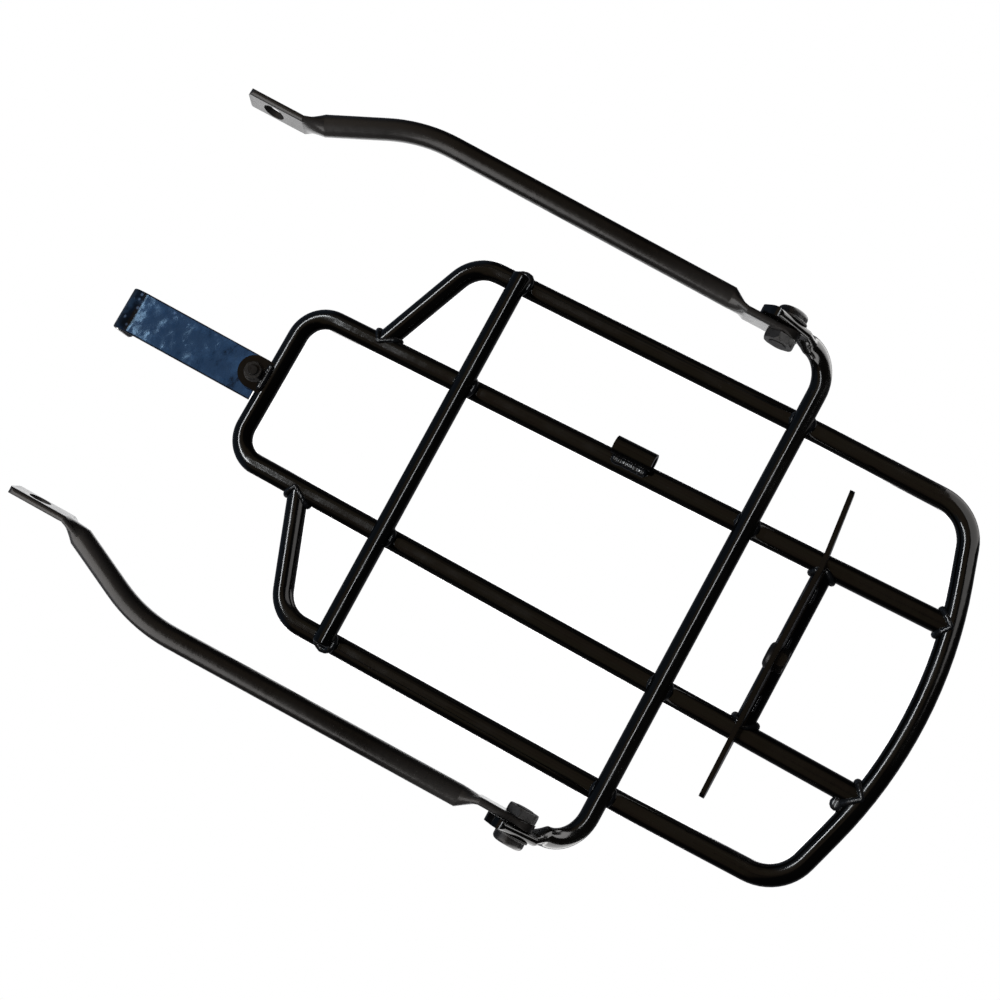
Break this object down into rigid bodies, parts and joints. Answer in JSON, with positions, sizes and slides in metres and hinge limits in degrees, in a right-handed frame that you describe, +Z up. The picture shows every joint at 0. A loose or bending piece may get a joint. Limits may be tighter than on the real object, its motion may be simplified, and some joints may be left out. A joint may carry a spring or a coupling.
{
  "type": "folding rear luggage rack",
  "caption": "Welded tube luggage rack for the rear of a bicycle, with a bent front bracket, a reflector plate and folding stays that pivot on a hoop.",
  "frame": {"origin": "centre of the front bracket's bolt hole, on the flange's front face, at the height of the deck tubes' centre lines", "axes": "+X towards the bicycle's front, +Y to its left, +Z up from the deck; the stays are at their pictured fold"},
  "size_m": [0.4229, 0.2598, 0.1022],
  "materials": {
    "black": "gloss black paint on steel tube",
    "black_flat": "gloss black paint with slight orange peel on flat steel",
    "fixings": "black-coated steel bolts, washers and nuts"
  },
  "bodies": {
    "frame": {"outer_loop_tube": "black", "inner_loop_tube": "black", "front_cross_rod": "black", "support_hoop": "black", "rear_cross_tube": "black", "accessory_bush": "black", "bracket_lug": "black", "front_bracket": "black_flat", "reflector_plate": "black_flat", "reflector_bolt": "fixings", "reflector_washer": "fixings", "reflector_nut": "fixings", "bracket_bolt": "fixings", "bracket_washer": "fixings", "bracket_nut": "fixings", "left_pivot_bolt": "fixings", "left_pivot_washer": "fixings", "left_pivot_nut": "fixings", "right_pivot_bolt": "fixings", "right_pivot_washer": "fixings", "right_pivot_nut": "fixings"},
    "left_stay": {"left_stay": "black"},
    "right_stay": {"right_stay": "black"}
  },
  "joints": [
    {"name": "left_stay_fold", "type": "hinge", "parent": "frame", "child": "left_stay", "pos_m": [-0.29401, 0.1223, -0.03137], "axis": [0, 1, 0], "range_deg": [-10.4, 110]},
    {"name": "right_stay_fold", "type": "hinge", "parent": "frame", "child": "right_stay", "pos_m": [-0.29401, -0.1161, -0.03137], "axis": [0, 1, 0], "range_deg": [-12.3, 108.1]}
  ]
}
